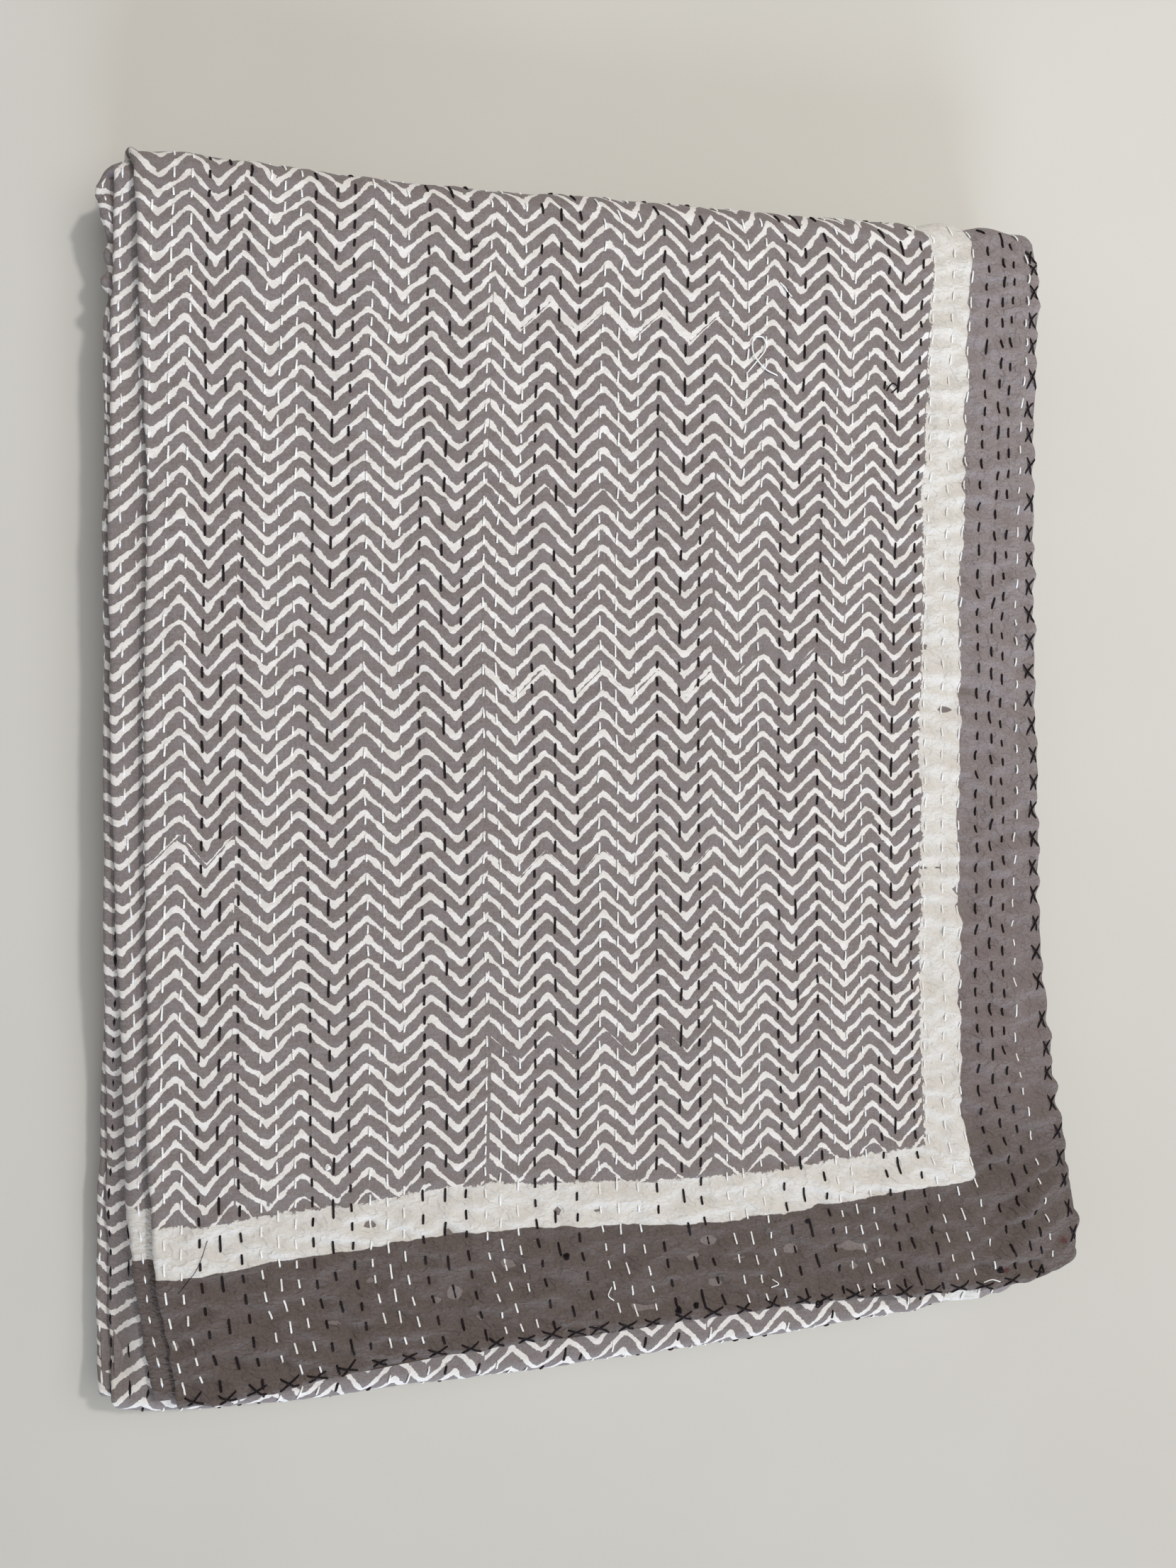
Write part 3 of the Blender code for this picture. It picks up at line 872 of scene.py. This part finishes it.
def sew_columns(piles):
    """Every running stitch, fine where it is in plain view."""
    chance = np.random.RandomState(23)
    for k in range(len(COLUMN_U)):
        s_of, v_of = stitch_run(k)
        phase = column_phase(k, v_of)
        whole = np.arange(math.ceil(phase[0]), math.floor(phase[-1]) - 1)
        uneven = 1 + STITCH_UNEVEN * (chance.rand(len(whole)) - 0.5)
        size = COLUMN_STITCH[k] / COLUMN_PITCH[k] * uneven
        centre = whole + 0.5 * COLUMN_STITCH[k] / COLUMN_PITCH[k]
        lean = chance.rand(len(whole)) - 0.5
        kept = chance.rand(len(whole)) > MISSED_STITCHES
        at = np.interp(centre, phase, T_GRID)
        detail = seen(np.interp(at, T_GRID, s_of), at)
        for level, rings, sides in ((2, FINE_RINGS, 5), (1, COARSE_RINGS, 4)):
            pick = (detail == level) & kept
            if not pick.any():
                continue
            along, lift = np.array(rings).T
            place = centre[pick, None] + along * size[pick, None] / 2
            t = np.interp(place, phase, T_GRID)
            s = np.interp(t, T_GRID, s_of)
            s = s + along * lean[pick, None] * STITCH_LEAN / PLY_WIDTH
            thread = COLUMN_THREAD[k]
            piles[thread].lay(s, t, lift + 0 * t, sides, THREAD_RADIUS[thread])


def top_place(x, y):
    """s and t of a point of the top ply in the print's frame."""
    start, end = run_limits(1, x)
    t = (y - start) / (end - start)
    y_first = (2 * t - 1) * SIDE_STATIONS["top"]
    hem = side_edge("hem 1", 0 * t, y_first)
    nose = side_edge("nose a", 0 * t, y_first) + PITCH / 2 + HALF
    return (hem - x) / (hem - nose), t


def sew_strokes(pile, strokes):
    """Straight stitches on the top ply from x, y to x, y; the fifth number lifts the middle."""
    along, lift = np.array(STROKE_RINGS).T
    strokes = np.array(strokes, float)
    share = (along + 1) / 2
    x = strokes[:, 0, None] * (1 - share) + strokes[:, 2, None] * share
    y = strokes[:, 1, None] * (1 - share) + strokes[:, 3, None] * share
    s, t = top_place(x, y)
    extra = strokes[:, 4, None] * np.clip(1 - along**2 * 1.6, 0, 1)
    pile.lay(np.clip(s, 0.0004, 0.999), np.clip(t, 0.0004, 0.999), lift + extra, 5, CROSS_RADIUS)


def hem_crosses():
    """The hems' cross stitches: two strokes each, the second over the first."""
    chance = np.random.RandomState(31)
    strokes = []

    def cross(x, y, wide, high, turn):
        skew = math.radians(turn)
        for k in (1, -1):
            dx, dy = k * wide / 2 + 0.6 * (chance.rand() - 0.5), high / 2
            dx, dy = (
                dx * math.cos(skew) - dy * math.sin(skew),
                dx * math.sin(skew) + dy * math.cos(skew),
            )
            slip = 0.8 * (chance.rand() - 0.5)
            strokes.append((x - dx + slip, y - dy, x + dx + slip, y + dy, 0.3 if k > 0 else 0.9))

    for x in BOTTOM_CROSSES:
        wide = 10.4 + 5 * (chance.rand() - 0.5)
        rise = end_edge("start hem", x + 5) - end_edge("start hem", x - 5)
        turn = math.degrees(math.atan(rise / 10)) + 24 * (chance.rand() - 0.5)
        y = end_edge("start hem", x) + 2.1 + 1.4 * (chance.rand() - 0.5)
        cross(x, y, wide, 5.4 + 2.6 * (chance.rand() - 0.5), turn)
    for y, high in RIGHT_CROSSES:
        x = smooth_table(np.array(y, float), SIDE_STATIONS, SIDE_EDGES[1, "hem 1"]) - 2.8
        cross(float(x), y, 5.4 + 1.6 * (chance.rand() - 0.5), high, 16 * (chance.rand() - 0.5))
    return strokes


def under_crosses():
    """Places of the crosses on the underside's hems, as rows of s and t."""
    chance = np.random.RandomState(37)
    rows_s, rows_t = [], []
    along = np.array(STROKE_RINGS)[:, 0]

    def cross(s, t, ds, dt):
        for k in (1, -1):
            rows_s.append(s + k * along * ds / 2)
            rows_t.append(t + along * dt / 2)

    for k in range(37):
        t = 6.02 + 0.0262 * k + 0.004 * (chance.rand() - 0.5)
        cross(0.0085, t, 5 / 490, 10 / 600)
    for k in range(29):
        s = 0.03 + 0.0335 * k + 0.006 * (chance.rand() - 0.5)
        cross(s, 7 - 0.0075, 9.5 / 490, 6 / 600)
    return np.array(rows_s), np.array(rows_t)


def curve_through(points, count):
    """A smooth line through points given as x, y and height."""
    points = np.array(points, float)
    ends = np.concatenate([2 * points[:1] - points[1:2], points, 2 * points[-1:] - points[-2:-1]])
    at = np.linspace(0, len(points) - 1, count)
    k = np.minimum(at.astype(int), len(points) - 2)
    f = (at - k)[:, None]
    a, b, c, d = ends[k], ends[k + 1], ends[k + 2], ends[k + 3]
    bent = (2 * a - 5 * b + 4 * c - d) * f**2 + (3 * b - a - 3 * c + d) * f**3
    return 0.5 * (2 * b + (c - a) * f + bent)


def loose_threads(piles):
    """The loose ends, and the knots as small tangles."""
    for thread, radius, points in LOOSE:
        x, y, lift = curve_through(points, 8 * len(points)).T
        s, t = top_place(x, y)
        piles[thread].lay(s[None], t[None], lift[None], 5, radius)
    for thread, x, y, size in KNOTS:
        turn = np.linspace(0, 4 * np.pi, 22)
        reach = size * (0.55 + 0.35 * np.sin(turn * 1.5 + x))
        s, t = top_place(x + reach * np.cos(turn + y), y + reach * np.sin(turn + y))
        lift = 0.7 + 0.5 * np.sin(turn * 0.75 + x)
        piles[thread].lay(s[None], t[None], lift[None], 5, KNOT_RADIUS)


# ---------------- materials by nodes

def feed(tree, inputs, values):
    """Gives a node's inputs, by name or place, a number or colour, or links what is worked out."""
    for key, value in values.items():
        if isinstance(value, (int, float, tuple)):
            inputs[key].default_value = value
        else:
            tree.links.new(value.socket if isinstance(value, Field) else value, inputs[key])


def add_node(tree, kind, values, **settings):
    node = tree.nodes.new("ShaderNode" + kind)
    for key, value in settings.items():
        setattr(node, key, value)
    feed(tree, node.inputs, values)
    return node


class Field:
    """A number worked out by shader nodes: arithmetic on it adds nodes."""

    def __init__(self, tree, socket):
        self.tree, self.socket = tree, socket

    def math(self, operation, *others, first=None):
        values = (first, self) if first is not None else (self, *others)
        node = add_node(self.tree, "Math", dict(enumerate(values)), operation=operation)
        return Field(self.tree, node.outputs[0])

    def __add__(self, other):
        return self.math("ADD", other)

    def __sub__(self, other):
        return self.math("SUBTRACT", other)

    def __rsub__(self, other):
        return self.math("SUBTRACT", first=other)

    def __mul__(self, other):
        return self.math("MULTIPLY", other)

    def __truediv__(self, other):
        return self.math("DIVIDE", other)

    __radd__, __rmul__ = __add__, __mul__

    def floor(self):
        return self.math("FLOOR")

    def fraction(self):
        return self.math("FRACT")

    def size(self):
        return self.math("ABSOLUTE")

    def least(self, other, blend=0):
        return self.math("SMOOTH_MIN", other, blend)

    def most(self, other, blend=0):
        return self.math("SMOOTH_MAX", other, blend)

    def rise(self, low, high):
        """0 at low and 1 at high, smoothly; low may be the larger."""
        if low > high:
            return 1 - self.rise(high, low)
        values = {"Value": self, "From Min": low, "From Max": high}
        node = add_node(self.tree, "MapRange", values, interpolation_type="SMOOTHSTEP")
        return Field(self.tree, node.outputs["Result"])


class Look:
    """One material's node tree."""

    def __init__(self, name, sheen=0.0, specular=0.3):
        self.material = bpy.data.materials.new(name)
        self.material.use_nodes = True
        self.tree = self.material.node_tree
        self.shade(
            {"Sheen Weight": sheen, "Sheen Roughness": 0.5, "Specular IOR Level": specular}
        )

    def shade(self, values):
        feed(self.tree, self.tree.nodes["Principled BSDF"].inputs, values)

    def first_two(self, socket):
        split = add_node(self.tree, "SeparateXYZ", {0: socket})
        return Field(self.tree, split.outputs[0]), Field(self.tree, split.outputs[1])

    def map_axes(self, name):
        """The named map's two numbers."""
        return self.first_two(add_node(self.tree, "UVMap", {}, uv_map=name).outputs[0])

    def object_axes(self):
        """x and y in metres."""
        return self.first_two(add_node(self.tree, "TexCoord", {}).outputs["Object"])

    def texture(self, kind, a, b, values):
        """A texture's number at the place a, b."""
        place = add_node(self.tree, "CombineXYZ", {0: a, 1: b}).outputs[0]
        node = add_node(self.tree, kind, {"Vector": place, **values}, noise_dimensions="2D")
        return Field(self.tree, node.outputs[0])

    def noise(self, a, b, detail=2, rough=0.5):
        """Smooth noise about 0, nearly -1 to 1."""
        values = {"Scale": 1, "Detail": detail, "Roughness": rough}
        return (self.texture("TexNoise", a, b, values) - 0.5) * 3

    def chance(self, a, b):
        """An even random number, 0 to 1, for each pair of whole numbers."""
        return self.texture("TexWhiteNoise", a, b, {})

    def mix(self, factor, a, b):
        """From a to b, each a colour socket or the 8-bit colour to be seen."""
        a, b = ((*seen_as(*c), 1) if isinstance(c, tuple) else c for c in (a, b))
        values = {"Factor": factor, 6: a, 7: b}
        return add_node(self.tree, "Mix", values, data_type="RGBA").outputs[2]

    def finish(self, colour, roughness, height, depth):
        """Colour, roughness and a bump of this height times depth, in mm."""
        bump = add_node(self.tree, "Bump", {"Distance": depth * MM, "Height": height})
        self.shade({"Base Color": colour, "Roughness": roughness, "Normal": bump.outputs[0]})
        return self.material


def seen_as(red, green, blue):
    """The surface colour that the scene's light shows as this 8-bit colour."""
    shown = (c / 255 for c in (red, green, blue))
    linear = ((c / 12.92) if c < 0.04 else ((c + 0.055) / 1.055) ** 2.4 for c in shown)
    return tuple(min(c / LIGHT_LEVEL, 1.0) for c in linear)


def weave(look, u, v):
    """Uneven plain-woven threads, as a height about 0."""
    warp = look.noise(u / 0.42, v / 5.5, 1)
    weft = look.noise(u / 5.5 + 31, v / 0.42, 1)
    return warp * 0.5 + weft * 0.5


def print_look():
    """The printed cloth: border, band and zigzag blocks in the cloth's flat coordinates."""
    look = Look("block_print", sheen=0.12, specular=0.25)
    u, v = (axis * 1000 for axis in look.map_axes("cloth"))
    slub = weave(look, u, v)

    # The blocks: four zigzags wide and nine lines high, each printed a little off its place.
    across = u - BLOCK_SEAM - u.rise(PRINT_DRAWN_FROM, PRINT_DRAWN_TO) * PRINT_DRAWN
    column = (across / BLOCK_WIDTH).floor()
    peak = (across / ZIG_PERIOD).math("PINGPONG", 0.5)
    true_zig = (1 - 2 * peak) * ZIG_RISE
    row = ((v - true_zig) / (ROW_PITCH * BLOCK_ROWS) + look.chance(column, 0.5) * 5).floor()
    slip_v = (look.chance(column, row) - 0.5) * 4.6
    slip_u = (look.chance(row, column + 40) - 0.5) * 2.2
    peak = ((across + slip_u) / ZIG_PERIOD).math("PINGPONG", 0.5)
    zig = ((1 - 2 * peak) * ZIG_RISE).least(ZIG_RISE - 0.7, 1.9).most(0.5, 1.0)

    # The lines between: wavering, thicker in the troughs, broken where blocks meet.
    waver = look.noise(u / 15, v / 7, 1) * 0.8 + look.noise(u / 2.6 + 7, v / 2.6, 2) * 0.3
    place = (v + slip_v - zig + waver) / ROW_PITCH
    off = ((place.fraction() - 0.5) * ROW_PITCH).size()
    swelling = look.noise(u / 6 + 50, v / 6, 2) * 0.95 + zig.rise(4, 0) * 0.55
    swelling = swelling + look.noise(u / 1.2 + 13, v / 1.2, 2, 0.6) * 0.4
    inside = LINE_HALF + swelling - off
    seam = ((across / BLOCK_WIDTH + 0.5).fraction() - 0.5).size() * BLOCK_WIDTH
    gap = look.chance((across / BLOCK_WIDTH + 0.5).floor(), row + 9) * 3.0 - 2.1
    inside = inside.least(seam - gap, 1.4)
    # The frame: how far into the band from its outer edge, in its width.
    side = (EDGE_U - SIDE_BORDER - u).least(u - FAR_U - FAR_SIDE_BORDER, 1.0)
    side = side + look.noise(u / 30, v / 30 + 44, 1) * 1.6
    sway = ((u - BAND_SWAY_PEAK) * (2 * math.pi / BAND_SWAY_PERIOD)).math("COSINE") * BAND_SWAY
    waves = look.noise(u / 40, v / 45 + 3, 1) * 1.4 + look.noise(u / 14, v / 14 + 3, 1) * 0.9
    end = (v - NEAR_V).least(FAR_V - v, 1.0) - END_BORDER - sway + waves
    depth = side.least(end, 7.0)
    ragged = look.noise(u / 3.2 + 11, v / 3.2, 4, 0.7) * 1.9
    smooth_edge = look.noise(u / 6 + 23, v / 6, 2) * 0.5
    field_of_print = (depth + ragged).rise(BAND_WIDTH - 0.3, BAND_WIDTH + 0.5)
    in_band = (depth + smooth_edge).rise(-0.3, 0.3)

    # The last rows before the band are broken up.
    patchy = look.noise(u / 5, v / 4 + 60, 2)
    broken = (end - BAND_WIDTH + patchy * 7).rise(14, 2) * (1.0 + patchy * 1.4)
    line = (inside - broken).rise(-0.16, 0.22)

    # Dye and pigment.
    cloudy = look.noise(u / 60, v / 70 + 90, 3).rise(-1, 1)
    mottle = look.noise(u / 1.3, v / 1.3 + 17, 3, 0.7)
    speck = (mottle + slub * 0.8).rise(-1.5, 1.5)
    ground = look.mix(speck, (106, 97, 95), (142, 133, 131))
    ground = look.mix(cloudy * 0.35, ground, (136, 129, 129))
    near_end = (v - NEAR_V).least(FAR_V - v, 1.0) + look.noise(u / 60, v / 60 + 8) * 12
    border = look.mix(speck, (124, 114, 114), (150, 141, 140))
    low_border = look.mix(speck, (107, 96, 94), (132, 121, 119))
    border = look.mix(near_end.rise(420, 130), border, low_border)
    dark_border = look.mix(speck, (85, 75, 71), (108, 97, 93))
    border = look.mix(near_end.rise(150, 70), border, dark_border)
    wear = (mottle * 0.7 + slub + look.noise(u / 9, v / 9 + 33, 3, 0.6) * 0.6).rise(-0.2, 2)
    pigment = look.mix(speck, (217, 212, 207), (236, 232, 228))
    pigment = look.mix(wear * 0.35, pigment, (176, 169, 164))
    band = look.mix(speck, (205, 200, 193), (222, 218, 212))
    band = look.mix(wear * 0.28, band, (176, 169, 162))
    printed = look.mix(line, ground, pigment)
    framed = look.mix(field_of_print, band, printed)
    colour = look.mix(in_band, border, framed)
    for stain_u, stain_v, reach in STAINS:
        away = ((u - stain_u) * (u - stain_u) + (v - stain_v) * (v - stain_v)).math("SQRT")
        stained = (away + mottle * 1.2).rise(reach, reach * 0.3) * 0.75
        colour = look.mix(stained, colour, (84, 38, 38))
    light = in_band * (1 - field_of_print * (1 - line))
    creased = 0.35 + 0.65 * (1 - field_of_print) + 0.5 * (1 - in_band)
    wrinkles = look.noise(u / 7 + v / 20, v / 4.2 - u / 30, 3, 0.55) * 0.42 * creased
    ridge = look.noise(u / 11 + 70, v / 7 + u / 20, 2, 0.5).size()
    wrinkles = wrinkles + (1 - ridge).rise(0.7, 1) * 0.3 * creased
    pills = look.noise(u / 0.8, v / 0.8 + 5, 3, 0.7)
    height = slub * 0.05 + pills * 0.04 + light * 0.05 + wrinkles
    roughness = 0.9 - light * 0.1 + slub * 0.04
    return look.finish(colour, roughness, height, 1)


def back_look():
    look = Look("back_cloth", sheen=0.12, specular=0.25)
    u, v = (axis * 1000 for axis in look.map_axes("cloth"))
    slub = weave(look, u, v)
    mottle = look.noise(u / 1.4, v / 1.4 + 3, 3, 0.7)
    speck = (mottle + slub).rise(-1.8, 1.8)
    colour = look.mix(speck, (108, 99, 97), (140, 131, 128))
    return look.finish(colour, 0.92 + slub * 0.04, slub * 0.4 + mottle * 0.2, 0.16)


def thread_look(name, dark, light, sheen):
    """Cotton thread: plies twisted round each other, with a little fluff, and painted shade in the
    grooves between the plies.
    """
    look = Look(name, sheen=sheen, specular=0.2)
    along, around = look.map_axes("thread")
    twist = (along * 1000 / TWIST_PITCH + around).fraction()
    strand = ((twist - 0.5).size() * 2).rise(0, 1)
    x, y = (axis * 1000 for axis in look.object_axes())
    patchy = look.noise(x / 7, y / 7, 2).rise(-1, 1)
    fluff = look.noise(x / 0.4, y / 0.4, 2)
    # shade: painted shade, darker in the grooves between the twisted plies where strand is low, mixed
    # with random patchy and fluffy tone.
    shade = (strand * 0.5 + patchy * 0.5 + fluff * 0.15).rise(0, 1)
    return look.finish(
        look.mix(shade, dark, light), 0.78 + fluff * 0.06, strand * 0.8 + fluff * 0.3, 0.14
    )


def floor_look():
    """A plain pale floor."""
    look = Look("floor", specular=0.15)
    x, y = look.object_axes()
    cloud = look.noise(x * 5, y * 5, 3).rise(-1.5, 1.5)
    colour = look.mix(cloud, (201, 198, 190), (206, 203, 196))
    return look.finish(colour, 0.62 + cloud * 0.04, cloud, 0.02)


# ---------------- the scene

cloth = build_cloth()
cloth.data.materials.append(print_look())
cloth.data.materials.append(back_look())

piles = {"dark": Threads("stitches_dark"), "white": Threads("stitches_white")}
crosses = Threads("hem_crosses")
sew_columns(piles)
sew_strokes(crosses, hem_crosses())
rows_s, rows_t = under_crosses()
crosses.lay(rows_s, rows_t, np.array(STROKE_RINGS)[:, 1] + 0 * rows_s - 0.1, 4, CROSS_RADIUS)
loose_threads(piles)
dark_thread = thread_look("thread_dark", (14, 9, 11), (40, 30, 33), 0.0)
white_thread = thread_look("thread_white", (240, 239, 236), (255, 255, 255), 0.2)
stitches = []
for pile, material in (
    (piles["dark"], dark_thread), (piles["white"], white_thread), (crosses, dark_thread)
):
    made = pile.build()
    made.data.materials.append(material)
    stitches.append(made)

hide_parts("quilt")
for piece in (cloth, *stitches):
    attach(piece, "root")


def add_floor():
    data = bpy.data.meshes.new("floor")
    reach = 6
    corners = [(-reach, -reach), (reach, -reach), (reach, reach), (-reach, reach)]
    data.from_pydata([(x, y, -0.0003) for x, y in corners], [], [(0, 1, 2, 3)])
    data.materials.append(floor_look())
    add_object("floor", data)


def add_camera():
    """The photo's camera: its place, and its own right, up and back."""
    place = (-0.16854, 0.01598, 0.6576)
    right, up, back = (
        (0.97389, -0.00802, 0.2268), (0.01294, 0.99972, -0.0200), (-0.22664, 0.02243, 0.9737)
    )
    data = bpy.data.cameras.new("camera")
    data.sensor_fit, data.sensor_height, data.lens = "VERTICAL", 36, 27.02
    data.clip_start = 0.01
    camera = add_object("camera", data)
    camera.matrix_world = Matrix.Translation(place) @ Matrix(
        [[right[k], up[k], back[k]] for k in range(3)]
    ).to_4x4()
    bpy.context.scene.camera = camera


def add_light(name, place, colour, power, size=None, spread=None):
    """A round lamp of this size, or distant light this many radians wide, aimed at the middle."""
    data = bpy.data.lights.new(name, "AREA" if size else "SUN")
    data.energy, data.color = power, colour
    if size:
        data.shape, data.size = "DISK", size
    else:
        data.angle = spread
    turn = Vector(place).to_track_quat("Z", "Y").to_matrix().to_4x4()
    add_object(name, data).matrix_world = Matrix.Translation(place) @ turn


def add_world(colour, strength):
    world = bpy.data.worlds.new("room")
    world.use_nodes = True
    background = world.node_tree.nodes["Background"]
    background.inputs["Color"].default_value = (*colour, 1)
    background.inputs["Strength"].default_value = strength
    bpy.context.scene.world = world


add_floor()
add_camera()
add_world((1.0, 0.985, 0.965), 0.28)
add_light("window", (0.3, -3.4, 0.75), (0.7, 0.82, 1), 2.75, spread=0.45)
add_light("softbox", (0.85, 0.3, 2.2), (1, 0.99, 0.965), 25, size=2.4)
add_light("ceiling", (1.1, 1.0, 2.6), (1, 0.98, 0.955), 28, size=0.22)
bpy.context.scene.view_settings.view_transform = "Standard"
